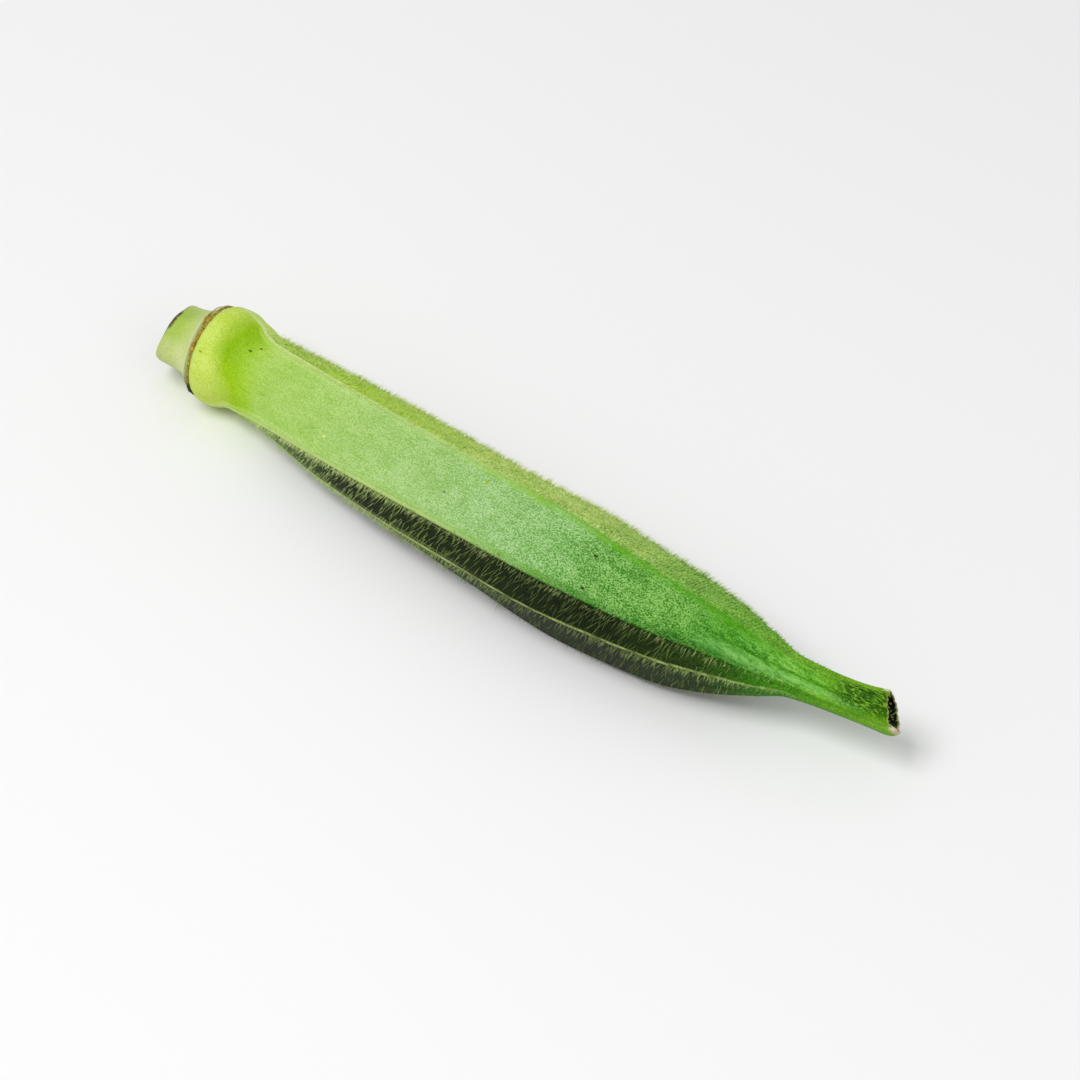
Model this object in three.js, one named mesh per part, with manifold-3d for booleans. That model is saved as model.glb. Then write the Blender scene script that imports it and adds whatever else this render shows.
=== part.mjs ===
// An okra pod lying on its side: the ridged, tapering pod, the cut stub of its stalk, the dry ring
// that the calyx left between them, and the dry scar in the end of the beak.
// Millimetres, +Z up. The pod runs along +X from the stalk to the beak and lies on z = 0.
import * as THREE from 'three';
import { mergeVertices } from 'three/addons/utils/BufferGeometryUtils.js';
import Module from 'manifold-3d';

const wasm = await Module();
wasm.setup();

// The pod's stations: distance along it, the centre line's y and z, the radius out to the ridges, and
// how flat the faces between the ridges are, from 0 for round to 1 for flat
const POD = [
  [7.2, -0.35, 7.35, 7.1, 0.0],
  [8.2, -0.25, 7.35, 7.55, 0.0],
  [9.8, -0.1, 7.4, 7.6, 0.03],
  [12.0, -0.05, 7.4, 6.95, 0.05],
  [14.8, -0.3, 7.4, 6.4, 0.2],
  [18.5, -0.45, 7.4, 6.4, 0.45],
  [25.0, -0.9, 7.4, 6.85, 0.7],
  [33.0, -1.7, 7.45, 7.65, 0.85],
  [48.0, -2.9, 7.6, 8.5, 0.87],
  [63.0, -3.75, 7.75, 8.9, 0.88],
  [77.0, -4.25, 7.9, 9.4, 0.9],
  [87.0, -4.35, 8.0, 8.8, 0.9],
  [95.0, -4.1, 8.15, 8.1, 0.9],
  [102.3, -3.45, 8.4, 6.58, 0.9],
  [109.0, -2.75, 8.75, 4.55, 0.88],
  [114.0, -2.05, 8.85, 2.97, 0.85],
  [121.0, -1.1, 8.95, 2.65, 0.85],
  [125.6, -0.4, 9.1, 2.65, 0.7],
  [128.7, 0.05, 9.25, 2.8, 0.2],
];

// The seven ridges: where each one runs round the pod, in degrees from the top towards -Y, at the
// distances RIDGE_AT, and how far it stands out beside the pod's radius
const RIDGE_AT = [12, 18, 37, 63, 99, 118];
const RIDGES = [
  { turns: [-34, -14, -8, -10.5, -1, 2], reach: 1.0 },
  { turns: [126, 108, 77, 62, 54, 71], reach: 1.0 },
  { turns: [146, 132, 113, 97, 83, 104], reach: 1.0 },
  { turns: [168, 158, 151, 146, 144, 152], reach: 1.03 },
  { turns: [207, 207, 209, 212, 212, 208], reach: 1.0 },
  { turns: [256, 256, 258, 260, 260, 258], reach: 1.0 },
  { turns: [306, 306, 306, 306, 306, 308], reach: 1.0 },
];
const CREST_HALF_WIDTH = 0.42;
const CREST_HEIGHT = 0.12;
const FACE_SAMPLES = [0.22, 0.5, 0.78];

// A groove runs down the middle of each face of the beak
const BEAK_GROOVE = { from: 95, full: 107, depth: 0.2 };

// Stretches of the pod's length with the number of steps in each
const POD_STEPS = [[7.2, 13, 12], [13, 22, 7], [22, 102, 34], [102, 125, 14], [125, 127, 3], [127, 128.7, 5]];
const BASE_BOSS = { radius: 5.2, from: 6.3 };

// The beak ends at a slant, round a shallow hollow. The side that the angle names is the longest and
// curves in by a share of the radius.
const TIP = { slant: 0.6, longest: 128, from: 122, curl: 0.45, curlFrom: 126.6 };
const TIP_HOLLOW = { lip: 0.3, mouth: 2.15, floor: 1.9, depth: 1.8 };
const TIP_SCAR = { rings: [[-1.5, 1.3], [-1.2, 1.4], [-0.95, 0.75]], sides: 20 };

// The stalk's stations: distance, how far its middle lies off the pod's centre line in y and z, the
// radius, and the slant that the oblique cut gives each one
const STALK = [
  [-0.8, -0.35, -0.35, 4.65, 0.25],
  [-0.3, -0.35, -0.35, 4.8, 0.22],
  [1.2, -0.3, -0.3, 4.85, 0.12],
  [3.0, -0.2, -0.2, 5.0, 0.0],
  [4.7, -0.05, -0.1, 5.65, 0.0],
  [6.0, 0.0, 0.0, 6.8, 0.0],
];
const STALK_SIDES = 40;
const STALK_LOBES = { count: 5, depth: 0.03, turn: 20 };

const CALYX_RING = { inner: 5.5, outer: 7.2, from: 6.3, to: 6.9, sides: 48, ragged: 0.12 };

const FLOOR_BLOCK = { length: 200, width: 60, height: 10 };

const COLOURS = {
  pod: 0x7fb84a,
  stalk: 0xb3c98c,
  calyx_scar: 0x8a6a3a,
  tip_scar: 0x3a2f20,
};

// A smooth curve through the points that never overshoots them
function curve(xs, ys, x) {
  const last = xs.length - 1;
  const gap = xs.slice(1).map((v, i) => v - xs[i]);
  const rise = gap.map((g, i) => (ys[i + 1] - ys[i]) / g);
  const slope = (i) => {
    if (i === 0) return rise[0];
    if (i === last) return rise[last - 1];
    if (rise[i - 1] * rise[i] <= 0) return 0;
    const before = 2 * gap[i] + gap[i - 1];
    const after = gap[i] + 2 * gap[i - 1];
    return (before + after) / (before / rise[i - 1] + after / rise[i]);
  };
  if (x <= xs[0]) return ys[0];
  if (x >= xs[last]) return ys[last];
  const i = xs.findIndex((v) => v > x) - 1;
  const t = (x - xs[i]) / gap[i];
  const t2 = t * t;
  const t3 = t2 * t;
  return (2 * t3 - 3 * t2 + 1) * ys[i] + (t3 - 2 * t2 + t) * gap[i] * slope(i)
    + (3 * t2 - 2 * t3) * ys[i + 1] + (t3 - t2) * gap[i] * slope(i + 1);
}

const podX = POD.map((row) => row[0]);
const podStart = podX[0];
const podEnd = podX[podX.length - 1];
const station = (column, x) => curve(podX, POD.map((row) => row[column]), x);
const centre = (x) => new THREE.Vector3(x, station(1, x), station(2, x));

// A point beside the centre line, at an angle from the top towards -Y
function around(x, degrees, radius, shift = 0) {
  const step = 0.5;
  const inside = THREE.MathUtils.clamp(x, podStart + step, podEnd - step);
  const along = centre(inside + step).sub(centre(inside - step)).normalize();
  const side = new THREE.Vector3(0, 0, 1).cross(along).normalize();
  const up = along.clone().cross(side);
  const angle = THREE.MathUtils.degToRad(degrees);
  return centre(x)
    .setX(x + shift)
    .addScaledVector(up, radius * Math.cos(angle))
    .addScaledVector(side, -radius * Math.sin(angle));
}

// A point of the beak's end moves along the pod with the slant, and in with the curl
function tipPlace(x, degrees, radius, rise = 0) {
  const lean = Math.cos(THREE.MathUtils.degToRad(degrees - TIP.longest));
  const shift = TIP.slant * THREE.MathUtils.smoothstep(x, TIP.from, podEnd) * radius * lean;
  const part = THREE.MathUtils.clamp((x - TIP.curlFrom) / (podEnd - TIP.curlFrom), 0, 1);
  const curl = TIP.curl * (1 - Math.sqrt(1 - part ** 2)) * Math.max(0, lean) ** 2;
  return around(x, degrees, radius * (1 - curl), shift + rise);
}

// The pod's outline at one station: a flat-topped crest on each ridge and three points on each face
function podRing(x) {
  const radius = station(3, x);
  const flatness = station(4, x);
  const groove = BEAK_GROOVE.depth * THREE.MathUtils.smoothstep(x, BEAK_GROOVE.from, BEAK_GROOVE.full);
  const crest = THREE.MathUtils.radToDeg(CREST_HALF_WIDTH / radius) * Math.min(1, flatness * 1.2);
  const ridges = RIDGES.map(({ turns, reach }) => ({ turn: curve(RIDGE_AT, turns, x), reach }));
  ridges.push({ turn: ridges[0].turn + 360, reach: ridges[0].reach });
  const ring = [];
  for (let i = 0; i < RIDGES.length; i++) {
    const [from, to] = [ridges[i], ridges[i + 1]];
    const start = from.turn + crest;
    const end = to.turn - crest;
    const span = THREE.MathUtils.degToRad(end - start);
    ring.push(tipPlace(x, from.turn, radius * from.reach + CREST_HEIGHT * flatness));
    for (const part of [0, ...FACE_SAMPLES, 1]) {
      const a = part * span;
      const flat = from.reach * to.reach * Math.sin(span)
        / (from.reach * Math.sin(a) + to.reach * Math.sin(span - a));
      const round = from.reach + (to.reach - from.reach) * part;
      const reach = round + (flat - round) * flatness;
      ring.push(tipPlace(x, start + part * (end - start), radius * reach - (part === 0.5 ? groove : 0)));
    }
  }
  return ring;
}

function circle(x, radius, sides) {
  return Array.from({ length: sides }, (_, i) => around(x, (360 * i) / sides, radius));
}

// A circle near the beak's end, slanted and curved in as the end is
function tipCircle(rise, radius, sides) {
  return Array.from({ length: sides }, (_, i) => tipPlace(podEnd, (360 * i) / sides, radius, rise));
}

// A closed surface through rings of points. The ends are closed by a point in the middle of each,
// or the last ring joins the first.
function loft(rings, joined = false) {
  const sides = rings[0].length;
  const points = rings.flat();
  const faces = [];
  const bands = joined ? rings.length : rings.length - 1;
  for (let r = 0; r < bands; r++) {
    const here = r * sides;
    const next = ((r + 1) % rings.length) * sides;
    for (let i = 0; i < sides; i++) {
      const j = (i + 1) % sides;
      faces.push(here + i, next + j, next + i, here + i, here + j, next + j);
    }
  }
  if (!joined) {
    for (const [ring, first] of [[rings[0], 0], [rings[rings.length - 1], (rings.length - 1) * sides]]) {
      const middle = points.length;
      points.push(ring.reduce((sum, p) => sum.add(p), new THREE.Vector3()).divideScalar(sides));
      for (let i = 0; i < sides; i++) {
        const j = (i + 1) % sides;
        faces.push(middle, first + (first ? i : j), first + (first ? j : i));
      }
    }
  }
  const geometry = new THREE.BufferGeometry().setFromPoints(points);
  geometry.setIndex(faces);
  return geometry;
}

function solid(geometry) {
  const bare = geometry.clone();
  bare.deleteAttribute('normal');
  bare.deleteAttribute('uv');
  const merged = mergeVertices(bare);
  return new wasm.Manifold(new wasm.Mesh({
    numProp: 3,
    vertProperties: new Float32Array(merged.attributes.position.array),
    triVerts: new Uint32Array(merged.index.array),
  }));
}

function geometryOf(body) {
  const mesh = body.getMesh();
  const geometry = new THREE.BufferGeometry();
  geometry.setAttribute('position', new THREE.BufferAttribute(mesh.vertProperties, mesh.numProp));
  geometry.setIndex(new THREE.BufferAttribute(mesh.triVerts, 1));
  return geometry;
}

// The pod, with small flat spots under the cap and under two ridges of the belly, on which it lies
function podGeometry() {
  const sides = podRing(podStart).length;
  const rings = [
    circle(BASE_BOSS.from, BASE_BOSS.radius, sides),
    circle(podStart, BASE_BOSS.radius, sides),
    podRing(podStart),
  ];
  for (const [from, to, steps] of POD_STEPS) {
    for (let i = 1; i <= steps; i++) rings.push(podRing(from + ((to - from) * i) / steps));
  }
  rings.push(tipCircle(0, station(3, podEnd) - TIP_HOLLOW.lip, sides));
  rings.push(tipCircle(-TIP_HOLLOW.depth / 2, TIP_HOLLOW.mouth, sides));
  rings.push(tipCircle(-TIP_HOLLOW.depth, TIP_HOLLOW.floor, sides));
  const { length, width, height } = FLOOR_BLOCK;
  const floor = new THREE.BoxGeometry(length, width, height).translate(length / 4, 0, -height / 2);
  return geometryOf(solid(loft(rings)).subtract(solid(floor)));
}

// The stalk's stub, slightly lobed, its end cut at a slant
function stalkGeometry() {
  const { count, depth, turn } = STALK_LOBES;
  const rings = STALK.map(([x, y, z, radius, slant]) => Array.from({ length: STALK_SIDES }, (_, i) => {
    const degrees = (360 * i) / STALK_SIDES;
    const lobe = 1 + depth * Math.cos(THREE.MathUtils.degToRad(count * (degrees - turn)));
    const shift = slant * radius * Math.cos(THREE.MathUtils.degToRad(degrees));
    return around(x, degrees, radius * lobe, shift).add(new THREE.Vector3(0, y, z));
  }));
  return loft(rings);
}

// The calyx's dry ring, a thin band with a ragged edge round the pod's base
function ringGeometry() {
  const { inner, outer, from, to, sides, ragged } = CALYX_RING;
  const edge = circle((from + to) / 2, outer, sides).map((_, i) => {
    const degrees = (360 * i) / sides;
    const wave = Math.sin(THREE.MathUtils.degToRad(3 * degrees))
      + Math.sin(THREE.MathUtils.degToRad(11 * degrees + 40));
    return around((from + to) / 2, degrees, outer + ragged * wave * 0.5);
  });
  return loft([
    circle(from, inner, sides),
    circle(from, outer - 0.25, sides),
    edge,
    circle(to, outer - 0.25, sides),
    circle(to, inner, sides),
  ], true);
}

function tipScarGeometry() {
  return loft(TIP_SCAR.rings.map(([rise, radius]) => tipCircle(rise, radius, TIP_SCAR.sides)));
}

function mesh(name, geometry) {
  const material = new THREE.MeshStandardMaterial({ color: COLOURS[name], roughness: 0.7, metalness: 0 });
  const node = new THREE.Mesh(geometry, material);
  node.name = name;
  return node;
}

const okra = new THREE.Group();
okra.add(
  mesh('pod', podGeometry()),
  mesh('stalk', stalkGeometry()),
  mesh('calyx_scar', ringGeometry()),
  mesh('tip_scar', tipScarGeometry()),
);

// The origin is under the middle of the whole object
const box = new THREE.Box3().setFromObject(okra);
const middle = box.getCenter(new THREE.Vector3());
for (const piece of okra.children) piece.position.set(-middle.x, -middle.y, 0);

export default okra;
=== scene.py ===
"""An okra pod lying on its side: its ridged skin, its hairs, the cut stalk, the dry ring that the
calyx left and the dry hollow end of the beak. Shapes are worked out in millimetres along the pod,
counted from close to the stalk's cut end, and placed in the row frame in metres."""
import math

import bmesh
import bpy
import numpy as np
from mathutils import Matrix, Vector


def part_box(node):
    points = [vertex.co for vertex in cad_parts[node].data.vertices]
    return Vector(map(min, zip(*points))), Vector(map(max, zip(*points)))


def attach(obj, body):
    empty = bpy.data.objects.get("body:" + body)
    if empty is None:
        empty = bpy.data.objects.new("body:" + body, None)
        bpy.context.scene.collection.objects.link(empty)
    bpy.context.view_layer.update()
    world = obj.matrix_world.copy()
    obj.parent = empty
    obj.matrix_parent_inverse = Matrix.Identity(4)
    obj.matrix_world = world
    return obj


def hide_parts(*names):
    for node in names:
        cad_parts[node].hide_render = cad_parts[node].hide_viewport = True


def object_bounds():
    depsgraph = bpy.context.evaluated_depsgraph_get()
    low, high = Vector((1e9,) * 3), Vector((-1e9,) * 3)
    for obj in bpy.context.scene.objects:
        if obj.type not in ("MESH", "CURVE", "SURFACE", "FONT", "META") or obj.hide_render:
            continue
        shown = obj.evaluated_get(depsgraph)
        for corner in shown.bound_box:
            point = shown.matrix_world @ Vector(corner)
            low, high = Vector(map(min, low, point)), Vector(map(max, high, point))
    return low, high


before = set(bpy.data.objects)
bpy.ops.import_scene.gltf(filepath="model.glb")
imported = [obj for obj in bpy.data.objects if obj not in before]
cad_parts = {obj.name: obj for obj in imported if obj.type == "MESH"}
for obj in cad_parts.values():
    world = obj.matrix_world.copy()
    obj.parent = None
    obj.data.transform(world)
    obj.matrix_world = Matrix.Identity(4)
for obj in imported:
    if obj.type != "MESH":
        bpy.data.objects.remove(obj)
cad_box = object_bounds()

MM = 0.001

# How far, in metres, hairs may stand out of the box that the solid pieces fill, and how far above
# the floor every point of theirs stays
HAIR_REACH = 0.00045
HAIR_CLEARANCE = 0.00003

# Points closer than this, in metres, are merged where a grid meets itself
SEAM = 1e-7

# The pod's stations: distance, the centre line's y and z, the radius out to the ridges, and how flat
# the faces between the ridges are, from 0 for round to 1 for flat
POD = np.array([
    (7.2, -0.35, 7.35, 7.1, 0.0),
    (8.2, -0.25, 7.35, 7.55, 0.0),
    (9.8, -0.1, 7.4, 7.6, 0.03),
    (12.0, -0.05, 7.4, 6.95, 0.05),
    (14.8, -0.3, 7.4, 6.4, 0.2),
    (18.5, -0.45, 7.4, 6.4, 0.45),
    (25.0, -0.9, 7.4, 6.85, 0.7),
    (33.0, -1.7, 7.45, 7.65, 0.85),
    (48.0, -2.9, 7.6, 8.5, 0.87),
    (63.0, -3.75, 7.75, 8.9, 0.88),
    (77.0, -4.25, 7.9, 9.4, 0.9),
    (87.0, -4.35, 8.0, 8.8, 0.9),
    (95.0, -4.1, 8.15, 8.1, 0.9),
    (102.3, -3.45, 8.4, 6.58, 0.9),
    (109.0, -2.75, 8.75, 4.55, 0.88),
    (114.0, -2.05, 8.85, 2.97, 0.85),
    (121.0, -1.1, 8.95, 2.65, 0.85),
    (125.6, -0.4, 9.1, 2.65, 0.7),
    (128.7, 0.05, 9.25, 2.8, 0.2),
])
POD_START, POD_END = POD[0, 0], POD[-1, 0]

# The seven ridges: degrees from the top towards -Y, at the distances RIDGE_AT
RIDGE_AT = (12, 18, 37, 63, 99, 118)
RIDGE_TURNS = (
    (-34, -14, -8, -10.5, -1, 2),
    (126, 108, 77, 62, 54, 71),
    (146, 132, 113, 97, 83, 104),
    (168, 158, 151, 146, 144, 152),
    (207, 207, 209, 212, 212, 208),
    (256, 256, 258, 260, 260, 258),
    (306, 306, 306, 306, 306, 308),
)
UPPER, LOWER, HAIRY, BEARING_NEAR, BEARING_FAR, BACK, TOP_BACK = range(7)

# How far out each ridge reaches, as a part of the radius, and half the width of its round crest in mm
RIDGE_REACH = np.array((1.0, 1.0, 1.0, 1.03, 1.0, 1.0, 1.0))
CREST_HALF_WIDTH = 0.42

# Fine relief beside the ridges near the cap: how far from the ridge, half the width, and the height
RIB_LINE = {"away": 0.3, "half_width": 0.17, "height": 0.12}
RIB_CHANNEL = {"away": 0.95, "half_width": 0.3, "height": -0.07}
SEED_SWELLING = 0.035
BEAK_GROOVE = {"from": 95, "full": 107, "depth": 0.2, "half_width": 0.3}

# The beak's end: its slant and the side that is longest, its curl, the waves of its ragged lip as
# height, count and start in degrees, and the scoop in the side of the lip that faces the camera
TIP = {"slant": 0.6, "longest": 128, "from": 122, "curl": 0.45, "curl_from": 126.6}
LIP_WAVES = ((0.07, 9, 50), (0.06, 23, 0))
LIP_SCOOP = {"turn": 76, "half_width": 24, "depth": 0.45, "length": 1.8}

# Where the pod's solid begins, under the skin
POD_BOSS_START = 6.3

# The stalk's stations: distance, the offset of its middle in y and z, radius, and slant
STALK = np.array([
    (-0.8, -0.35, -0.35, 4.65, 0.25),
    (-0.3, -0.35, -0.35, 4.8, 0.22),
    (1.2, -0.3, -0.3, 4.85, 0.12),
    (3.0, -0.2, -0.2, 5.0, 0.0),
    (4.7, -0.05, -0.1, 5.65, 0.0),
    (6.0, 0.0, 0.0, 6.8, 0.0),
])
STALK_START, STALK_END = STALK[0, 0], STALK[-1, 0]
STALK_LOBES = {"count": 5, "depth": 0.03, "turn": 20}
RING_AT = 6.65

# The camera's place about the pod in degrees and mm, how much it takes in there, its sensor's width
# in mm, and the nearest distance in metres that it draws
CAMERA = {
    "azimuth": 38.7, "elevation": 44.0, "distance": 650.0, "frame_width": 152.8, "aim": (67.7, 0.0, 5.3),
    "sensor": 36, "nearest": 0.01,
}

# Lights: azimuth and elevation in degrees, distance and size in metres, and power in watts
LIGHTS = {"key": (-20, 62, 0.9, 0.5, 4.2), "fill": (70, 40, 1.0, 0.7, 1.2)}
SKY_STRENGTH = 0.55

# The floor's size in metres, and its two pale greys on a screen
FLOOR_REACH = 3
FLOOR_GREYS = (238.6, 243.4)

rng = np.random.default_rng(7)


# Shape

def smooth(x, low, high):
    t = np.clip((np.asarray(x, float) - low) / (high - low), 0, 1)
    return t * t * (3 - 2 * t)


def hump(x, middle, half_width):
    """1 at the middle, falling away in a bell shape on both sides."""
    return np.exp(-((x - middle) / half_width) ** 2)


def facing(turns, middle, edge, full):
    """1 where an angle is near the middle one. edge and full are cosines of the way between them."""
    return smooth(np.cos(np.radians(turns - middle)), edge, full)


def curve(xs, ys, x):
    """A smooth curve through the points that never overshoots them."""
    xs, ys = np.asarray(xs, float), np.asarray(ys, float)
    gap = np.diff(xs)
    rise = np.diff(ys) / gap
    slope = np.zeros(len(xs))
    slope[0], slope[-1] = rise[0], rise[-1]
    for i in range(1, len(xs) - 1):
        if rise[i - 1] * rise[i] > 0:
            before, after = 2 * gap[i] + gap[i - 1], gap[i] + 2 * gap[i - 1]
            slope[i] = (before + after) / (before / rise[i - 1] + after / rise[i])
    x = np.clip(x, xs[0], xs[-1])
    i = np.clip(np.searchsorted(xs, x, "right") - 1, 0, len(xs) - 2)
    t = (x - xs[i]) / gap[i]
    return ((2 * t**3 - 3 * t**2 + 1) * ys[i] + (t**3 - 2 * t**2 + t) * gap[i] * slope[i]
            + (3 * t**2 - 2 * t**3) * ys[i + 1] + (t**3 - t**2) * gap[i] * slope[i + 1])


def station(column, x):
    return curve(POD[:, 0], POD[:, column], x)


def centre(x):
    return np.stack([x, station(1, x), station(2, x)], -1)


def around(x, degrees, radius, shift=0.0):
    """Points beside the centre line, at angles from the top towards -Y."""
    step = 0.5
    inside = np.clip(x, POD_START + step, POD_END - step)
    along = centre(inside + step) - centre(inside - step)
    along /= np.linalg.norm(along, axis=-1, keepdims=True)
    side = np.cross((0.0, 0.0, 1.0), along)
    side /= np.linalg.norm(side, axis=-1, keepdims=True)
    up = np.cross(along, side)
    angle = np.radians(degrees)[..., None]
    radius = np.asarray(radius, float)[..., None]
    point = centre(x) + radius * (np.cos(angle) * up - np.sin(angle) * side)
    point[..., 0] += shift
    return point


def ridge_turn(ridge, x):
    return curve(RIDGE_AT, RIDGE_TURNS[ridge], x)


def all_ridge_turns(x):
    """The angles of the seven ridges, and of the first once more after a full turn."""
    return np.array([ridge_turn(i, x) for i in range(7)] + [ridge_turn(UPPER, x) + 360])


def section(x, degrees):
    """The pod's outline at points x and degrees: its radius in mm, the distance in mm to the nearest
    ridge and to the middle of the face, and the number of the face."""
    radius, flatness = station(3, x), station(4, x)
    turns = all_ridge_turns(x)
    reach = np.append(RIDGE_REACH, RIDGE_REACH[0])
    degrees = (degrees - turns[0]) % 360 + turns[0]
    face = np.clip(sum((degrees >= turns[i]).astype(int) for i in range(7)) - 1, 0, 6)
    low, high = np.choose(face, turns[:7]), np.choose(face, turns[1:])
    low_reach, high_reach = reach[face], reach[face + 1]
    crest = np.degrees(CREST_HALF_WIDTH / radius) * np.minimum(1, flatness * 1.2)
    start, end = low + crest, high - crest
    part = np.clip((degrees - start) / (end - start), 0, 1)
    span = np.radians(end - start)
    a = part * span
    flat = low_reach * high_reach * np.sin(span) / (low_reach * np.sin(a) + high_reach * np.sin(span - a))
    rounded = low_reach + (high_reach - low_reach) * part
    outline = radius * (rounded + (flat - rounded) * flatness)
    to_ridge = np.radians(np.minimum(degrees - low, high - degrees)) * radius
    to_middle = np.radians(np.abs(degrees - (low + high) / 2)) * radius
    return outline, to_ridge, to_middle, face


def rib_relief(relief, to_ridge):
    return relief["height"] * hump(to_ridge, relief["away"], relief["half_width"])


def skin_radius(x, degrees):
    """The outline with its fine relief: two fine lines along each ridge, a shallow channel beside
    them, a groove down each face of the beak, and slow swellings over the seeds."""
    outline, to_ridge, to_middle, face = section(x, degrees)
    fading = smooth(x, 24, 46)
    ribs = rib_relief(RIB_LINE, to_ridge) * (1 - fading)
    ribs = ribs + rib_relief(RIB_CHANNEL, to_ridge) * (1 - 0.6 * fading)
    groove = BEAK_GROOVE["depth"] * smooth(x, BEAK_GROOVE["from"], BEAK_GROOVE["full"])
    groove = groove * hump(to_middle, 0, BEAK_GROOVE["half_width"])
    belly = smooth(x, 20, 30) * (1 - smooth(x, 92, 104)) * smooth(to_ridge, 1, 3)
    swelling = belly * SEED_SWELLING * np.sin(x * 1.15 + face * 2.1) * np.sin(x * 0.31 + face)
    return outline + smooth(x, 8.5, 17) * ribs - groove + swelling


def tip_place(x, degrees, radius, rise=0.0):
    """Points of the beak's end, moved along the pod with its slant and in with its curl."""
    lean = np.cos(np.radians(degrees - TIP["longest"]))
    shift = TIP["slant"] * smooth(x, TIP["from"], POD_END) * radius * lean
    part = np.clip((x - TIP["curl_from"]) / (POD_END - TIP["curl_from"]), 0, 1)
    curl = TIP["curl"] * (1 - np.sqrt(1 - part**2)) * np.maximum(0, lean) ** 2
    return around(x, degrees, radius * (1 - curl), shift + rise)


def skin_point(x, degrees, inset=0.0, rise=0.0):
    return tip_place(x, degrees, skin_radius(x, degrees) - inset, rise)


def skin_normal(x, degrees, away=0.15):
    """The way out from the skin at points, from its slopes along and across."""
    turn = np.degrees(away / station(3, x))
    along = skin_point(x + away, degrees) - skin_point(x - away, degrees)
    across = skin_point(x, degrees + turn) - skin_point(x, degrees - turn)
    normal = np.cross(across, along)
    return normal / np.linalg.norm(normal, axis=-1, keepdims=True)


def frame_origin():
    """The row frame's origin in mm along the pod, found from where the pod's solid lies."""
    x = np.repeat(np.linspace(POD_START, POD_END, 240)[:, None], 120, axis=1)
    turns = np.tile(np.linspace(0, 357, 120), (240, 1))
    y = skin_point(x, turns)[..., 1]
    low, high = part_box("pod")
    return np.array([
        POD_BOSS_START - low[0] / MM,
        (y.min() + y.max()) / 2 - (low[1] + high[1]) / 2 / MM,
        0.0,
    ])


ORIGIN = frame_origin()


def placed(points):
    """Points in mm along the pod as metres in the row frame."""
    return (np.asarray(points, float) - ORIGIN) * MM


# Making pieces

def finish_piece(bm, name, material, nodes=()):
    bmesh.ops.recalc_face_normals(bm, faces=bm.faces)
    mesh = bpy.data.meshes.new(name)
    bm.to_mesh(mesh)
    bm.free()
    return add_piece(mesh, name, material, nodes)


def add_piece(mesh, name, material, nodes=()):
    mesh.polygons.foreach_set("use_smooth", np.full(len(mesh.polygons), True))
    mesh.materials.append(material)
    piece = bpy.data.objects.new(name, mesh)
    bpy.context.collection.objects.link(piece)
    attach(piece, "root")
    if nodes:
        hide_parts(*nodes)
    return piece


def wrapped_grid(points, masks, joined=False):
    """A grid of faces laid over rows of points, with its seam merged, and closed at both ends or
    joined from the last row to the first. masks are named values at the same points."""
    rows, columns = points.shape[:2]
    bm = bmesh.new()
    bmesh.ops.create_grid(bm, x_segments=columns - 1, y_segments=rows - 1, size=1)
    bm.verts.ensure_lookup_table()
    layers = {name: bm.verts.layers.float.new(name) for name in masks}
    flat = placed(points).reshape(-1, 3)
    for vert, place in zip(bm.verts, flat):
        vert.co = place
    for name, values in masks.items():
        layer = layers[name]
        for vert, value in zip(bm.verts, np.asarray(values, float).ravel()):
            vert[layer] = value
    bmesh.ops.remove_doubles(bm, verts=bm.verts, dist=SEAM)
    if not joined:
        bmesh.ops.holes_fill(bm, edges=[e for e in bm.edges if e.is_boundary], sides=0)
    return bm


# Materials

# Scales of the noise in the materials, in cells per metre
GRAIN = {
    "drift": 110, "patches": 420, "streaks": 2300, "threads": 4200, "frayed": 1800, "rim": 1500,
    "hollow": 1900, "stalk_edge": 2200, "stalk_spots": 1100, "pores": 3400, "dried": 700,
    "ring": 2600, "tip": 2400, "floor": 3,
}

# The size in metres of the pale cells in the skin and in the stalk's bark
SKIN_CELL = 0.00017
STALK_CELL = 0.00028

# Colours along the pod, as distance in mm and the colours of the skin and of the pale fuzz over it:
# for the faces turned up, the hairy band behind the top and the faces turned down
# The faces turned up: the pale stops over the cap, at 6.5 and 9.5 mm, are a painted highlight, and the faces
# darken towards the beak partly in their own colour and partly as painted shade
FACE_COLOURS = (
    (6.5, (190, 213, 78), (212, 228, 124)), (9.5, (187, 212, 70), (206, 225, 112)),
    (12.5, (138, 182, 0), (162, 200, 26)), (15.5, (146, 190, 30), (168, 204, 72)),
    (19, (154, 194, 80), (180, 209, 112)), (30, (151, 191, 88), (182, 212, 126)),
    (48, (140, 182, 90), (178, 211, 140)), (64, (125, 173, 87), (178, 210, 150)),
    (76, (93, 152, 54), (168, 207, 142)), (86, (46, 122, 2), (150, 198, 112)),
    (98, (34, 114, 0), (140, 194, 94)), (104, (26, 108, 0), (104, 176, 54)),
    (108, (32, 114, 0), (122, 188, 72)), (114, (58, 138, 0), (150, 208, 92)),
    (119, (62, 138, 0), (132, 192, 58)), (126, (60, 122, 0), (108, 160, 26)),
)
BAND_COLOURS = (
    (6.5, (188, 214, 96), (212, 228, 132)), (18, (166, 206, 62), (202, 226, 114)),
    (34, (150, 200, 28), (208, 234, 96)), (60, (112, 174, 22), (230, 243, 150)),
    (78, (86, 148, 12), (226, 243, 147)), (98, (58, 130, 0), (170, 220, 104)),
    (110, (64, 136, 0), (134, 194, 62)), (126, (90, 150, 0), (142, 188, 44)),
)
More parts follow.
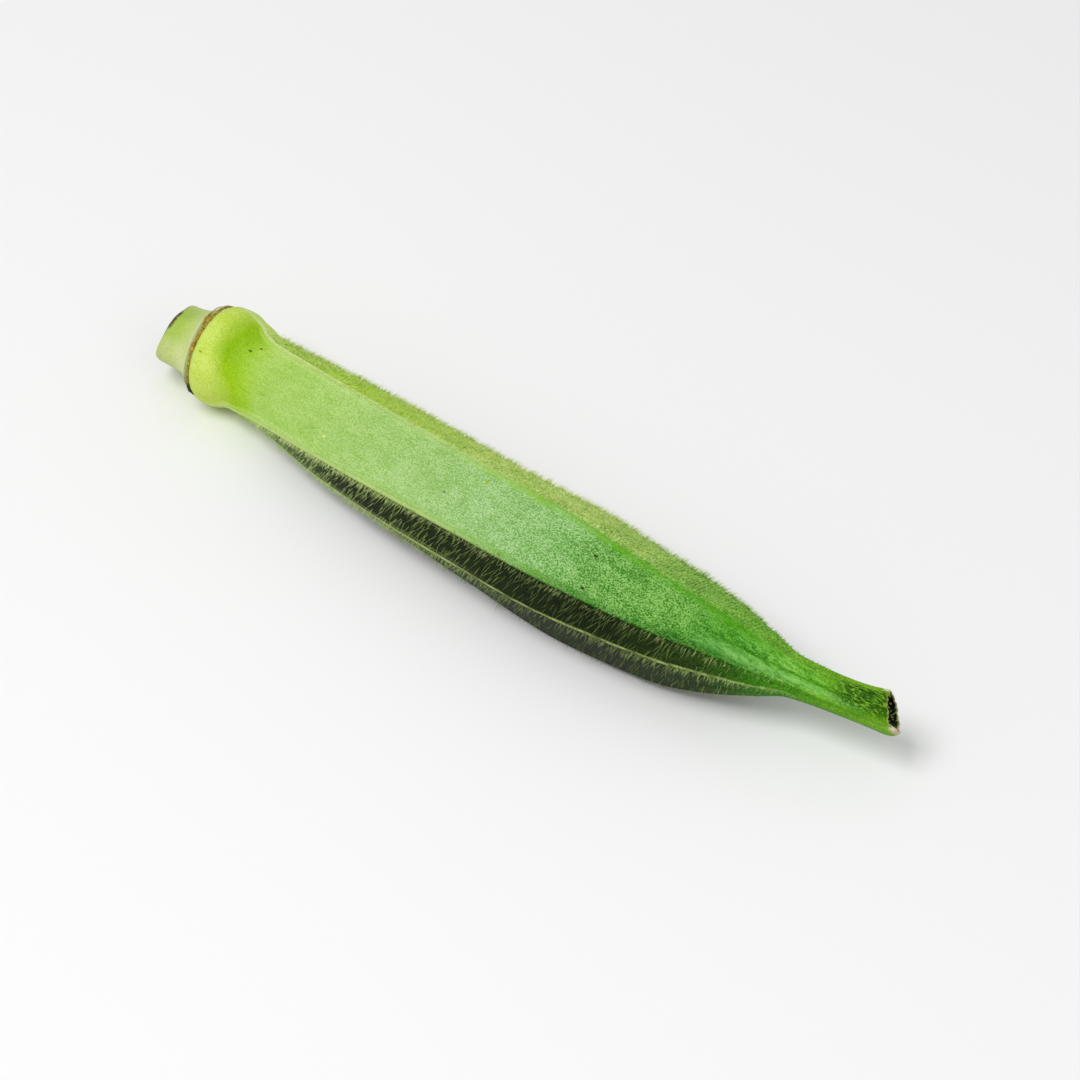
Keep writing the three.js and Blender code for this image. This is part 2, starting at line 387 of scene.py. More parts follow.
# The faces turned down: dark colours painted onto the skin as shade, standing in for the shade under the pod
UNDER_SHADE_COLOURS = (
    (6.5, (160, 198, 60), (186, 212, 96)), (16, (150, 190, 76), (182, 210, 114)),
    (25, (44, 66, 20), (98, 124, 56)), (40, (14, 22, 3), (38, 52, 14)),
    (90, (12, 19, 2), (30, 44, 12)), (102, (18, 36, 4), (50, 74, 22)),
    (107, (28, 72, 2), (62, 104, 28)), (111, (36, 104, 0), (76, 144, 28)),
    (119, (64, 130, 2), (100, 158, 36)), (126, (84, 142, 16), (120, 168, 50)),
)

# Colours along the pod, as distance in mm and one colour: the strips beside the ridges of the faces
# turned up, high and low, and the hairs that hang. The hanging hairs' colours hold painted light and
# shade: paler up to 38 mm to make up for the little light under the pod, darker from 56 to 92 mm
HIGH_STRIP_TONES = (
    (39.21, (156, 202, 76)), (71.89, (134, 188, 26)), (86.26, (90, 164, 4)), (101.95, (74, 150, 0)),
)
LOW_STRIP_TONES = (
    (39.21, (140, 180, 80)), (71.89, (116, 166, 64)), (84.96, (32, 110, 0)), (99.33, (8, 84, 0)),
)
HANGING_LIGHT_AND_SHADE_TONES = (
    (6.5, (206, 228, 140)), (38, (216, 236, 158)), (56, (150, 174, 92)), (76, (62, 84, 30)),
    (92, (78, 100, 40)), (106, (168, 194, 106)), (126, (150, 180, 70)),
)
POD_SPAN = POD_END + 2

# Colours along the stalk, as distance in mm from its end: all round, and on the side turned up
STALK_TONES = ((0, (184, 197, 116)), (3, (191, 204, 124)), (5.1, (204, 214, 146)))
STALK_UPPER_TONES = ((0, (158, 188, 64)), (3, (164, 192, 68)), (5.1, (188, 206, 112)))
STALK_SPAN = 6.0

# Colours of the stalk's cut face from its edge to its middle, as the part of the radius
PITH_TONES = (
    (0.04, (126, 112, 52)), (0.1, (118, 142, 56)), (0.2, (146, 166, 84)),
    (0.27, (196, 202, 140)), (0.6, (216, 220, 172)), (0.85, (228, 228, 196)),
)


def nodes_of(material):
    material.use_nodes = True
    tree = material.node_tree
    tree.nodes.clear()
    return tree


def srgb(red, green, blue):
    """A colour given as 0 to 255 on a screen, as the linear values that shaders take."""
    def linear(value):
        value /= 255
        return value / 12.92 if value <= 0.04045 else ((value + 0.055) / 1.055) ** 2.4
    return linear(red), linear(green), linear(blue), 1


def deep_tones(colours):
    return [(place, deep) for place, deep, _ in colours]


def pale_tones(colours):
    return [(place, pale) for place, _, pale in colours]


class Maker:
    """Short ways to add and join shader nodes in one tree."""

    def __init__(self, tree):
        self.tree = tree

    def node(self, kind, inputs=None, **settings):
        made = self.tree.nodes.new(kind)
        for key, value in settings.items():
            setattr(made, key, value)
        for key, value in (inputs or {}).items():
            if isinstance(value, bpy.types.NodeSocket):
                self.tree.links.new(value, made.inputs[key])
            else:
                made.inputs[key].default_value = value
        return made

    def attribute(self, name):
        return self.node("ShaderNodeAttribute", attribute_name=name).outputs["Fac"]

    def ramp(self, factor, stops, span=1.0):
        """Screen colours at places from 0 to span, read at a factor from 0 to 1."""
        made = self.node("ShaderNodeValToRGB", {"Fac": factor})
        elements = made.color_ramp.elements
        while len(elements) < len(stops):
            elements.new(0.5)
        for element, (place, colour) in zip(elements, stops):
            element.position = place / span
            element.color = srgb(*colour)
        return made.outputs["Color"]

    def between(self, value, low, high, out_low=0.0, out_high=1.0, smoothed=True):
        limits = {"From Min": low, "From Max": high, "To Min": out_low, "To Max": out_high}
        made = self.node("ShaderNodeMapRange", {"Value": value, **limits},
                         interpolation_type="SMOOTHSTEP" if smoothed else "LINEAR")
        return made.outputs["Result"]

    def math(self, operation, a, b):
        return self.node("ShaderNodeMath", {0: a, 1: b}, operation=operation).outputs[0]

    def times(self, a, b):
        return self.math("MULTIPLY", a, b)

    def mix(self, factor, a, b, blend="MIX"):
        inputs = {0: factor, 6: a, 7: b}
        return self.node("ShaderNodeMix", inputs, data_type="RGBA", blend_type=blend).outputs[2]

    def shaded(self, factor, colour, tint):
        """The colour, and by the factor the same colour multiplied by a tint."""
        return self.mix(factor, colour, self.mix(1.0, colour, (*tint, 1), "MULTIPLY"))

    def noise(self, scale, detail=3.0, roughness=0.55, vector=None):
        if vector is None:
            vector = self.object_points()
        inputs = {"Vector": vector, "Scale": scale, "Detail": detail, "Roughness": roughness}
        return self.node("ShaderNodeTexNoise", inputs).outputs["Fac"]

    def object_points(self, stretch=(1, 1, 1)):
        points = self.node("ShaderNodeTexCoord").outputs["Object"]
        return self.node("ShaderNodeMapping", {"Vector": points, "Scale": stretch}).outputs["Vector"]

    def bump(self, height, strength, distance):
        inputs = {"Strength": strength, "Distance": distance, "Height": height}
        return self.node("ShaderNodeBump", inputs).outputs["Normal"]


def mottle_group():
    """Fine pebbled skin: a mask of small pale cells, a slow drift of colour, and a normal."""
    group = bpy.data.node_groups.new("mottle", "ShaderNodeTree")
    for name in ("Cell Size", "Relief"):
        group.interface.new_socket(name, in_out="INPUT", socket_type="NodeSocketFloat")
    for name, kind in (("Cells", "Float"), ("Drift", "Float"), ("Normal", "Vector")):
        group.interface.new_socket(name, in_out="OUTPUT", socket_type="NodeSocket" + kind)
    make = Maker(group)
    given = make.node("NodeGroupInput").outputs
    points = make.object_points((0.62, 1, 1))
    cells = make.noise(make.math("DIVIDE", 1.0, given["Cell Size"]), 2.0, 0.6, points)
    drift = make.noise(GRAIN["drift"], 3.0, 0.6, points)
    patches = make.noise(GRAIN["patches"], 3.0, 0.65, points)
    cells = make.math("ADD", cells, make.between(patches, 0.3, 0.7, -0.05, 0.05))
    made = {
        "Cells": make.between(cells, 0.41, 0.61),
        "Drift": make.between(drift, 0.3, 0.7),
        "Normal": make.bump(cells, given["Relief"], 0.00012),
    }
    make.node("NodeGroupOutput", made)
    return group


mottle = mottle_group()


def mottled(make, size, relief):
    return make.node("ShaderNodeGroup", {"Cell Size": size, "Relief": relief}, node_tree=mottle).outputs


def principled(make, colour, roughness, normal=None, **constants):
    inputs = {"Base Color": colour, "Roughness": roughness}
    if normal is not None:
        inputs["Normal"] = normal
    inputs.update(constants)
    shader = make.node("ShaderNodeBsdfPrincipled", inputs)
    make.node("ShaderNodeOutputMaterial", {"Surface": shader.outputs["BSDF"]})


def skin_tones(make, along, colours, cells):
    """The skin's colour along the pod, mixed by a mask with that of the pale fuzz over it."""
    deep = make.ramp(along, deep_tones(colours), POD_SPAN)
    pale = make.ramp(along, pale_tones(colours), POD_SPAN)
    return make.mix(cells, deep, pale)


def upper_skin(make, along, cells, streaks, drift):
    """The faces turned up: wrinkled, with fresher strips beside the ridges and a pale stripe."""
    colour = skin_tones(make, along, FACE_COLOURS, cells)
    colour = make.shaded(make.between(streaks, 0.41, 0.34, 0, 0.55), colour, (0.72, 0.84, 0.5))
    patchy = make.times(make.between(drift, 0, 1, 0.85, 0.5), make.between(cells, 0, 1, 1.0, 0.6))
    for mask, tones in (("strip_high", HIGH_STRIP_TONES), ("strip_low", LOW_STRIP_TONES)):
        strip = make.times(make.attribute(mask), patchy)
        colour = make.mix(strip, colour, make.ramp(along, tones, POD_SPAN))
    stripe = make.times(make.attribute("pale_stripe"), make.between(streaks, 0.38, 0.6, 0.25, 0.6))
    colour = make.mix(stripe, colour, srgb(134, 194, 106))
    return make.shaded(make.attribute("shaded"), colour, (0.34, 0.6, 0.1))


def pale_ridges(make, colour, streaks):
    """Pale crests on the lower ridges, and the fine lines that run out from the cap."""
    crest = make.times(make.attribute("crest"), make.between(streaks, 0.4, 0.6, 0.25, 0.8))
    colour = make.mix(crest, colour, srgb(182, 202, 122))
    return make.mix(make.times(make.attribute("pale_lines"), 0.8), colour, srgb(206, 222, 146))


def stained_beak(make, colour):
    """A dark stain with pale fibres in it, over the end of the beak."""
    threads = make.noise(GRAIN["threads"], 3.0, 0.65, make.object_points((0.3, 1, 1)))
    stained = make.times(make.between(threads, 0.4, 0.54), make.attribute("stain"))
    colour = make.mix(make.times(stained, 0.92), colour, srgb(28, 70, 0))
    fibres = make.times(make.between(threads, 0.44, 0.34), make.attribute("stain"))
    return make.mix(make.times(fibres, 0.5), colour, srgb(152, 180, 56))


def beak_lip(make, colour):
    """The torn rim, its frayed pale side, and the hollow inside it, painted near-black as shade, with pale
    specks.
    """
    rim = make.ramp(make.noise(GRAIN["rim"], 4.0, 0.7), [(0.38, (92, 104, 18)), (0.64, (160, 172, 68))])
    frayed = make.ramp(make.noise(GRAIN["frayed"], 4.0, 0.7), [
        (0.4, (156, 122, 84)), (0.6, (226, 214, 188))])
    hollow = make.ramp(make.noise(GRAIN["hollow"], 1.5, 0.5), [
        (0.44, (12, 16, 8)), (0.54, (40, 46, 24)), (0.63, (176, 188, 128))])
    for mask, tone in (("rim", rim), ("frayed", frayed), ("hollow", hollow)):
        colour = make.mix(make.attribute(mask), colour, tone)
    return colour


def skin_material():
    material = bpy.data.materials.new("pod_skin")
    make = Maker(nodes_of(material))
    along = make.math("DIVIDE", make.attribute("along"), POD_SPAN)
    texture = mottled(make, SKIN_CELL, 0.5)
    streaks = make.noise(GRAIN["streaks"], 3.0, 0.6, make.object_points((0.14, 1, 1)))
    striped = make.times(make.attribute("striped"), 0.38)
    cells = make.node("ShaderNodeMix", {
        0: striped, 2: texture["Cells"], 3: make.between(streaks, 0.44, 0.56)}).outputs[0]
    colour = upper_skin(make, along, cells, streaks, texture["Drift"])
    colour = make.mix(make.attribute("band"), colour, skin_tones(make, along, BAND_COLOURS, cells))
    # Painted shade: the faces turned down take their dark colours
    colour = make.mix(make.attribute("under"), colour, skin_tones(make, along, UNDER_SHADE_COLOURS, cells))
    colour = pale_ridges(make, colour, streaks)
    colour = make.shaded(make.times(texture["Drift"], 0.4), colour, (0.8, 0.88, 0.7))
    colour = stained_beak(make, colour)
    colour = beak_lip(make, colour)
    roughness = make.between(cells, 0, 1, 0.45, 0.62, smoothed=False)
    principled(make, colour, roughness, texture["Normal"], **{
        "Subsurface Weight": 0.06, "Subsurface Radius": (0.4, 0.8, 0.2), "Subsurface Scale": 0.001,
        "Specular IOR Level": 0.14, "IOR": 1.35})
    return material


def cut_face(make):
    """The stalk's cut face: a browned edge, a green rind and a pale pith with pores."""
    pith = make.ramp(make.attribute("core"), PITH_TONES)
    pores = make.between(make.noise(GRAIN["pores"], 2.0, 0.5), 0.46, 0.6)
    colour = make.shaded(make.times(pores, 0.6), pith, (0.62, 0.66, 0.4))
    dried = make.between(make.noise(GRAIN["dried"], 4.0, 0.65), 0.5, 0.66, 0, 0.55)
    return make.mix(dried, colour, srgb(172, 150, 92))


def stalk_material():
    material = bpy.data.materials.new("stalk_skin")
    make = Maker(nodes_of(material))
    along = make.math("DIVIDE", make.attribute("along"), STALK_SPAN)
    texture = mottled(make, STALK_CELL, 0.3)
    upper = make.ramp(along, STALK_UPPER_TONES, STALK_SPAN)
    colour = make.mix(make.attribute("upper"), make.ramp(along, STALK_TONES, STALK_SPAN), upper)
    colour = make.shaded(make.times(texture["Cells"], 0.6), colour, (0.8, 0.86, 0.62))
    greener = make.mix(0.5, colour, srgb(140, 180, 80))
    colour = make.mix(make.times(texture["Drift"], 0.35), colour, greener)
    dry = make.ramp(make.noise(GRAIN["stalk_edge"], 4.0, 0.7), [(0.46, (22, 26, 10)), (0.6, (150, 112, 44))])
    spotted = make.between(make.noise(GRAIN["stalk_spots"], 3.0, 0.6), 0.3, 0.42)
    colour = make.mix(make.times(make.attribute("rim"), spotted), colour, dry)
    colour = make.mix(make.attribute("cut"), colour, cut_face(make))
    principled(make, colour, 0.55, texture["Normal"], **{
        "Subsurface Weight": 0.1, "Subsurface Radius": (0.5, 0.8, 0.3), "Subsurface Scale": 0.0015})
    return material


def dry_material(name, dark, light, scale):
    """Dry brown fibres, which darken where the piece is tarnished."""
    material = bpy.data.materials.new(name)
    make = Maker(nodes_of(material))
    grain = make.noise(scale, 5.0, 0.7, make.object_points((0.5, 1, 1)))
    colour = make.ramp(grain, [(0.36, dark), (0.64, light)])
    colour = make.mix(make.attribute("tarnish"), colour, srgb(30, 38, 22))
    principled(make, colour, 0.8, make.bump(grain, 0.6, 0.0002))
    return material


def hair_material(name, tones, tip):
    """Hairs coloured along the pod, going to another colour at their tips."""
    material = bpy.data.materials.new(name)
    make = Maker(nodes_of(material))
    along = make.math("DIVIDE", make.attribute("along"), POD_SPAN)
    colour = make.ramp(along, tones, POD_SPAN)
    colour = make.mix(make.times(make.attribute("tip"), 0.9), colour, srgb(*tip))
    colour = make.shaded(make.attribute("shade"), colour, (0.76, 0.85, 0.6))
    principled(make, colour, 0.6, **{"Specular IOR Level": 0.1})
    return material


# The pod's skin

# Where each look of the skin starts and is full, and where it fades and ends again, in mm
LOOKS = {
    # under: the painted shade on the faces turned down
    "under": (13, 24),
    "band": (8, 15),
    "strip_high": (40, 66, 106, 118),
    "strip_low": (20, 50, 106, 118),
    "crest": (26, 40, 110, 118),
    "pale_lines": (7.6, 10, 50, 74),
    "pale_stripe": (98, 107, 121, 126),
    "grooves": (98, 107, 118, 123),
    "striped": (96, 108, 118, 123),
    "stain": (118, 123),
    "cap_shift": (8, 11, 14, 26),
}

# The pale stripe down the beak: its angles at some distances, and half its width in degrees
STRIPE_AT, STRIPE_TURNS, STRIPE_HALF_WIDTH = (105, 112, 118, 124), (42, 51, 53, 62), 9

# How far the cap's colours move towards the stalk on the side that faces the camera
CAP_SHIFT = 3.2

# The rows that go over the lip and down into the hollow end: inset and rise
LIP_ROWS = ((0.06, 0.08), (0.16, 0.1), (0.27, 0.02), (0.32, -0.3), (0.4, -0.8), (0.6, -1.4), (0.9, -1.8))


def skin_rows():
    """Distances along the pod, close together where the cap and the beak curve, then the rows over
    the lip, as distance, inset and rise."""
    body = np.concatenate([
        np.linspace(POD_START, 14, 34, endpoint=False),
        np.linspace(14, 98, 176, endpoint=False),
        np.linspace(98, 126, 63, endpoint=False),
        np.linspace(126, POD_END, 18),
    ])
    return np.array([(x, 0.0, 0.0) for x in body] + [(POD_END, *row) for row in LIP_ROWS])


def skin_columns(x):
    """Angles round the pod, the same number to each face and closer together beside the ridges."""
    edges = all_ridge_turns(x)
    spread = np.linspace(0, 1, 37)[:-1]
    spread = spread - 0.085 * np.sin(2 * np.pi * spread)
    turns = [edges[i][:, None] + spread[None, :] * (edges[i + 1] - edges[i])[:, None] for i in range(7)]
    return np.concatenate(turns + [edges[7][:, None]], axis=1)


def lip_rise(x, turns, rise):
    """How far the beak's end is moved along the pod where it is ragged and where it is scooped."""
    ragged = sum(height * np.sin(np.radians(turns * count + start)) for height, count, start in LIP_WAVES)
    at_rim = smooth(x, POD_END - 0.6, POD_END) * (rise > -0.5)
    scoop = LIP_SCOOP["depth"] * hump(turns, LIP_SCOOP["turn"], LIP_SCOOP["half_width"])
    return ragged * at_rim - scoop * smooth(x, POD_END - LIP_SCOOP["length"], POD_END)


def present(look, x):
    """How much of a look there is at distances along the pod, from 0 to 1."""
    start, full, *ends = LOOKS[look]
    return smooth(x, start, full) * (1 - smooth(x, *ends)) if ends else smooth(x, start, full)


def skin_masks(x, turns, rise):
    """Where each look of the skin lies, as values from 0 to 1, and the distance that colours it."""
    _, ridge, middle, face = section(x, turns)
    first, lower, back, top_back = (ridge_turn(i, x) for i in (UPPER, LOWER, BACK, TOP_BACK))
    turned = (turns - first - 1) % 360 + first + 1
    behind_back = smooth(turned, back, top_back)
    under = smooth(turned, lower, lower + 2.5) * (1 - behind_back)
    band = behind_back * (1 - smooth(turned, first + 356.5, first + 360))
    up = (1 - under) * (1 - band)
    near_low = smooth(turned, (lower + first) / 2, lower) * (turned < back)
    beside_ridge = np.isin(face, (UPPER, LOWER, TOP_BACK)) * (1 - smooth(ridge, 0.45, 1.25))
    near_hairy = np.abs(turned - ridge_turn(HAIRY, x)) < 6
    crest = np.isin(face, (LOWER, HAIRY)) * near_hairy * (1 - smooth(ridge, 0.08, 0.32))
    rib_lines = np.maximum(1 - smooth(ridge, 0.2, 0.42), 0.45 * hump(ridge, 0.66, 0.12))
    stripe = hump(turned, curve(STRIPE_AT, STRIPE_TURNS, x), STRIPE_HALF_WIDTH)
    groove = hump(middle, 0, 0.24) * present("grooves", x)
    cap_side = hump(x, 13, 2.6) * facing(turns, 12, 0.75, 1)
    on_lip = rise > -0.2
    frayed = facing(turns, 122, 0.7, 0.95)
    far_lip = 0.6 * facing(turns, 235, 0.1, 0.7) * smooth(x, POD_END - 0.3, POD_END) * on_lip
    cap_shift = CAP_SHIFT * smooth(turned, 25, 95) * present("cap_shift", x)
    return {
        "along": x + np.minimum(rise, 0) - cap_shift,
        # Where the painted shade of the faces turned down lies
        "under": under * present("under", x),
        "band": band * present("band", x),
        "strip_high": beside_ridge * present("strip_high", x) * (near_low < 0.5),
        "strip_low": beside_ridge * present("strip_low", x) * (near_low >= 0.5),
        "crest": crest * present("crest", x),
        "pale_lines": rib_lines * present("pale_lines", x) * (1 - 0.35 * smooth(x, 22, 34)),
        "pale_stripe": stripe * present("pale_stripe", x) * up,
        "shaded": np.maximum(0.95 * groove, 0.22 * cap_side),
        "striped": present("striped", x) * up,
        "stain": present("stain", x) * facing(turns, 20, 0.62, 0.92),
        "rim": smooth(x, POD_END - 0.16, POD_END) * on_lip * (1 - frayed),
        "frayed": np.maximum(frayed * smooth(x + rise, POD_END - 0.7, POD_END - 0.1), far_lip),
        # Where the painted shade inside the beak's hollow end lies
        "hollow": smooth(-rise, 0.0, 0.25),
    }


def pod_skin():
    x, inset, rise = skin_rows().T
    turns = skin_columns(x)
    x, inset, rise = (np.repeat(value[:, None], turns.shape[1], axis=1) for value in (x, inset, rise))
    points = skin_point(x, turns, inset, rise + lip_rise(x, turns, rise))
    points[..., 2] = np.maximum(points[..., 2], 0)
    bm = wrapped_grid(points, skin_masks(x, turns, rise))
    return finish_piece(bm, "pod_skin", skin_material(), ["pod"])


# The stalk's stub

# The rows over the cut face, from its middle out: how far it is hollowed, and the part of the radius
CUT_ROWS = np.array([(0.25, 0.08), (0.22, 0.4), (0.12, 0.75), (0.02, 0.93)])


def stalk_stub():
    columns = 121
    distances = np.linspace(STALK_START, STALK_END, 34)
    x = np.concatenate([CUT_ROWS[:, 0] + STALK_START, distances])
    scale = np.concatenate([CUT_ROWS[:, 1], np.ones(len(distances))])
    cut = np.concatenate([np.ones(len(CUT_ROWS)), np.zeros(len(distances))])
    x, scale, cut = (np.repeat(value[:, None], columns, axis=1) for value in (x, scale, cut))
    turns = np.tile(np.linspace(0, 360, columns), (len(x), 1))
    along = np.where(cut > 0, STALK_START, x)
    off_y, off_z, radius, slant = (curve(STALK[:, 0], STALK[:, column], along) for column in (1, 2, 3, 4))
    lobe = np.cos(np.radians(STALK_LOBES["count"] * (turns - STALK_LOBES["turn"])))
    radius = radius * scale
    shift = slant * radius * np.cos(np.radians(turns))
    points = around(x, turns, radius * (1 + STALK_LOBES["depth"] * lobe), shift)
    points[..., 1] += off_y
    points[..., 2] += off_z
    wide = facing(turns, 16, 0.9, 0.97)
    edge = (1 - smooth(along, -0.7 + 0.5 * wide, -0.4 + 0.7 * wide)) * (1 - cut)
    browned = np.maximum(wide, 0.8 * facing(turns, 340, 0.1, 0.75))
    masks = {
        "along": along + 1,
        "cut": cut,
        "core": cut * (1 - scale),
        "rim": np.clip(edge * browned + cut * (scale > 0.85), 0, 1),
        "upper": facing(turns, 14, 0.6, 0.98) * (1 - smooth(along, 4.2, 5.8)),
    }
    bm = wrapped_grid(points, masks)
    return finish_piece(bm, "stalk_stub", stalk_material(), ["stalk"])


# The calyx's dry ring: two thin ragged strands that part over the top

# How rough a strand's thickness is: height, waves round the ring and where they start
STRAND_WAVES = ((0.25, 7, 1), (0.2, 17, 0), (0.15, 41, 2))


def ring_strand(name, offset, reach, girth, material, nodes):
    columns, sides = 241, 13
    turns = np.tile(np.linspace(0, 360, columns), (sides, 1))
    about = np.repeat(np.linspace(0, 2 * np.pi, sides)[:, None], columns, axis=1)
    rad = np.radians(turns)
    rough = 1 + sum(height * np.sin(count * rad + start) for height, count, start in STRAND_WAVES)
    broad, flake = facing(turns, 27, 0.85, 0.98), facing(turns, 112, 0.93, 0.985)
    thick = girth * rough * (0.42 + 0.58 * broad + 0.5 * flake)
    drift = offset(turns) + 0.06 * np.sin(5 * rad + 0.5)
    x = RING_AT + drift + thick * 1.3 * np.cos(about)
    points = around(x, turns, reach + thick * np.sin(about))
    bm = wrapped_grid(points, {"tarnish": flake}, joined=True)
    return finish_piece(bm, name, material, nodes)


def calyx_ring():
    material = dry_material("dry_ring", (94, 72, 8), (204, 170, 56), GRAIN["ring"])

    def beside_cap(turns):
        return np.full_like(turns, 0.2)

    def parting_over_top(turns):
        apart = 0.5 + 0.5 * np.cos(np.radians(turns + 4))
        return 0.08 - 0.5 * smooth(apart, 0.95, 0.995)

    ring_strand("calyx_ring", beside_cap, 7.0, 0.27, material, ["calyx_scar"])
    ring_strand("calyx_ring_edge", parting_over_top, 7.05, 0.15, material, [])


# The dry remains in the end of the beak

# Their rows from the deepest to the middle: rise from the beak's end, and radius
REMAINS_ROWS = np.array([(-1.7, 1.8), (-1.5, 1.75), (-1.35, 1.3), (-1.25, 0.8), (-1.1, 0.35), (-1.05, 0.1)])


def tip_remains():
    columns = 49
    turns = np.tile(np.linspace(0, 360, columns), (len(REMAINS_ROWS), 1))
    rise, radius = (np.repeat(value[:, None], columns, axis=1) for value in REMAINS_ROWS.T)
    rad = np.radians(turns)
    radius = radius * (1 + 0.08 * np.sin(5 * rad) + 0.05 * np.sin(11 * rad))
    rise = rise + 0.12 * np.sin(3 * rad + 1) * smooth(radius, 0, 1)
    points = tip_place(np.full_like(rise, POD_END), turns, radius, rise)
    bm = wrapped_grid(points, {"tarnish": np.zeros_like(rise)})
    material = dry_material("dry_tip", (22, 18, 12), (84, 66, 40), GRAIN["tip"])
    return finish_piece(bm, "tip_remains", material, ["tip_scar"])


# Hairs

# The hairs that stand along each ridge: how many, how far below the ridge their roots lie in mm, how
# they lean towards the beak and down, and the shortest and longest
UPRIGHT_FRINGES = {
    UPPER: (500, 0.0, 0.35, 0.0, 0.3, 0.6),
    BEARING_FAR: (700, 0.0, -0.2, 0.2, 0.5, 1.2),
    BACK: (600, 0.0, 0.2, 0.0, 0.5, 1.2),
    TOP_BACK: (1300, 0.0, 0.4, 0.1, 0.7, 1.4),
}
HANGING_FRINGES = {
    LOWER: (1100, 0.4, -0.35, 0.9, 0.5, 1.3),
    HAIRY: (700, 0.1, -0.4, 0.8, 0.7, 1.5),
    BEARING_NEAR: (700, 0.15, -0.4, 0.8, 0.6, 1.4),
}

# Where hairs grow, in mm: the first, the last, and the places between which they are densest
FRINGE_SPAN = (13, 118, 26, 100)
FACE_SPAN = (16, 120, 30, 72)
BAND_SPAN = (14, 114, 19, 100)
UNDER_SPAN = (20, 114, 34, 84)

# How thick hairs are at the root, as a radius in mm, and how deep the root is sunk
FRINGE_RADIUS = 0.045
FACE_RADIUS = 0.024
BAND_RADIUS = 0.052
UNDER_RADIUS = 0.04
ROOT_DEPTH = 0.03


def hair_shape(bent):
    """A fine three-sided hair of unit height and unit radius at the root, with one more ring of
    points half way up if it bends. Gives its points and faces."""
    bm = bmesh.new()
    bmesh.ops.create_cone(bm, cap_ends=True, cap_tris=True, segments=3, radius1=1, radius2=0.0, depth=1)
    bmesh.ops.translate(bm, verts=bm.verts, vec=(0, 0, 0.5))
    if bent:
        whole = bm.verts[:] + bm.edges[:] + bm.faces[:]
        bmesh.ops.bisect_plane(bm, geom=whole, plane_co=(0, 0, 0.5), plane_no=(0, 0, 1))
    bmesh.ops.triangulate(bm, faces=bm.faces)
    bmesh.ops.recalc_face_normals(bm, faces=bm.faces)
    bm.verts.index_update()
    points = np.array([v.co[:] for v in bm.verts])
    faces = np.array([[v.index for v in f.verts] for f in bm.faces])
    bm.free()
    return points, faces


def grow(name, material, root, out, lean, length, radius, bend, bent=True):
    """Hairs as one mesh. out is the way each one stands, lean the way it bends over."""
    shape, faces = hair_shape(bent)
    across = np.cross(out, lean)
    across /= np.linalg.norm(across, axis=-1, keepdims=True)
    sideways = np.cross(across, out)
    x, y, z = shape.T
    length, bend = (np.broadcast_to(value, len(root))[:, None, None] for value in (length, bend))
    wide = radius * (x[None, :, None] * sideways[:, None] + y[None, :, None] * across[:, None])
    tall = length * (z[None, :, None] * out[:, None] + bend * (z**2)[None, :, None] * sideways[:, None])
    spots = placed(root[:, None] - ROOT_DEPTH * out[:, None] + wide + tall)
    low, high = (np.array(corner) for corner in cad_box)
    keep = (spots[..., 2] > HAIR_CLEARANCE).all(axis=1)
    keep &= ((spots > low - HAIR_REACH) & (spots < high + HAIR_REACH)).all(axis=(1, 2))
    spots, along = spots[keep], root[keep, 0]
    count = len(spots)
    every = (faces[None] + (np.arange(count) * len(shape))[:, None, None]).reshape(-1, 3)
    mesh = bpy.data.meshes.new(name)
    mesh.from_pydata(spots.reshape(-1, 3), [], every)
    values = {
        "tip": np.tile(z, count),
        "shade": np.repeat(rng.random(count), len(shape)),
        "along": np.repeat(along, len(shape)),
    }
    for key, value in values.items():
        mesh.attributes.new(key, "FLOAT", "POINT").data.foreach_set("value", value.astype(np.float32))
    return add_piece(mesh, name, material)


def ways(x, turns, towards_beak, towards_under, scatter, lift):
    """The skin's point, the way a hair stands there and the way it leans: along the pod and round it.
    lift says how upright it stands."""
    root, out = skin_point(x, turns), skin_normal(x, turns)
    across = skin_point(x, turns + 1) - skin_point(x, turns - 1)
    across /= np.linalg.norm(across, axis=-1, keepdims=True)
    lean = towards_beak * np.array([1.0, 0, 0]) + towards_under * across
    lean += rng.normal(0, scatter, root.shape)
    stand = lift * out + lean
    stand /= np.linalg.norm(stand, axis=-1, keepdims=True)
    return root, stand, lean


def scattered(count, low, high, begin, end):
    """Distances along the pod that thin out towards both ends."""
    x = rng.uniform(low, high, count)
    return x[rng.random(count) < smooth(x, low - 1, begin) * (1 - 0.65 * smooth(x, end, high))]


def in_rows(x, step, spread):
    """Distances drawn together into rows."""
    return np.round(x / step) * step + rng.normal(0, spread, len(x))


def fringe(name, ridges, tones, tip):
    """Stiff hairs that stand along ridges, as one mesh."""
    parts = []
    for ridge, (count, below, beak, under, shortest, longest) in ridges.items():
        x = in_rows(scattered(count, *FRINGE_SPAN), 0.62, 0.12)
        if ridge == LOWER:
            # Half as many beyond the first third of the pod, where this ridge is barer
            x = x[rng.random(len(x)) > 0.5 * smooth(x, 44, 60)]
        offset = rng.normal(below, 0.25, len(x))
        turns = ridge_turn(ridge, x) + np.degrees(offset / station(3, x))
        lean_beak, lean_under = rng.normal(beak, 0.2, (len(x), 1)), rng.normal(under, 0.2, (len(x), 1))
        root, stand, lean = ways(x, turns, lean_beak, lean_under, 0.08, 1.0)
        length = rng.uniform(shortest, longest, len(x)) * (1 - 0.55 * smooth(x, 98, 114))
        parts.append((root, stand, lean, length))
    root, stand, lean, length = (np.concatenate(every) for every in zip(*parts))
    bend = rng.uniform(0.1, 0.5, len(length))
    return grow(name, hair_material(name, tones, tip), root, stand, lean, length, FRINGE_RADIUS, bend)


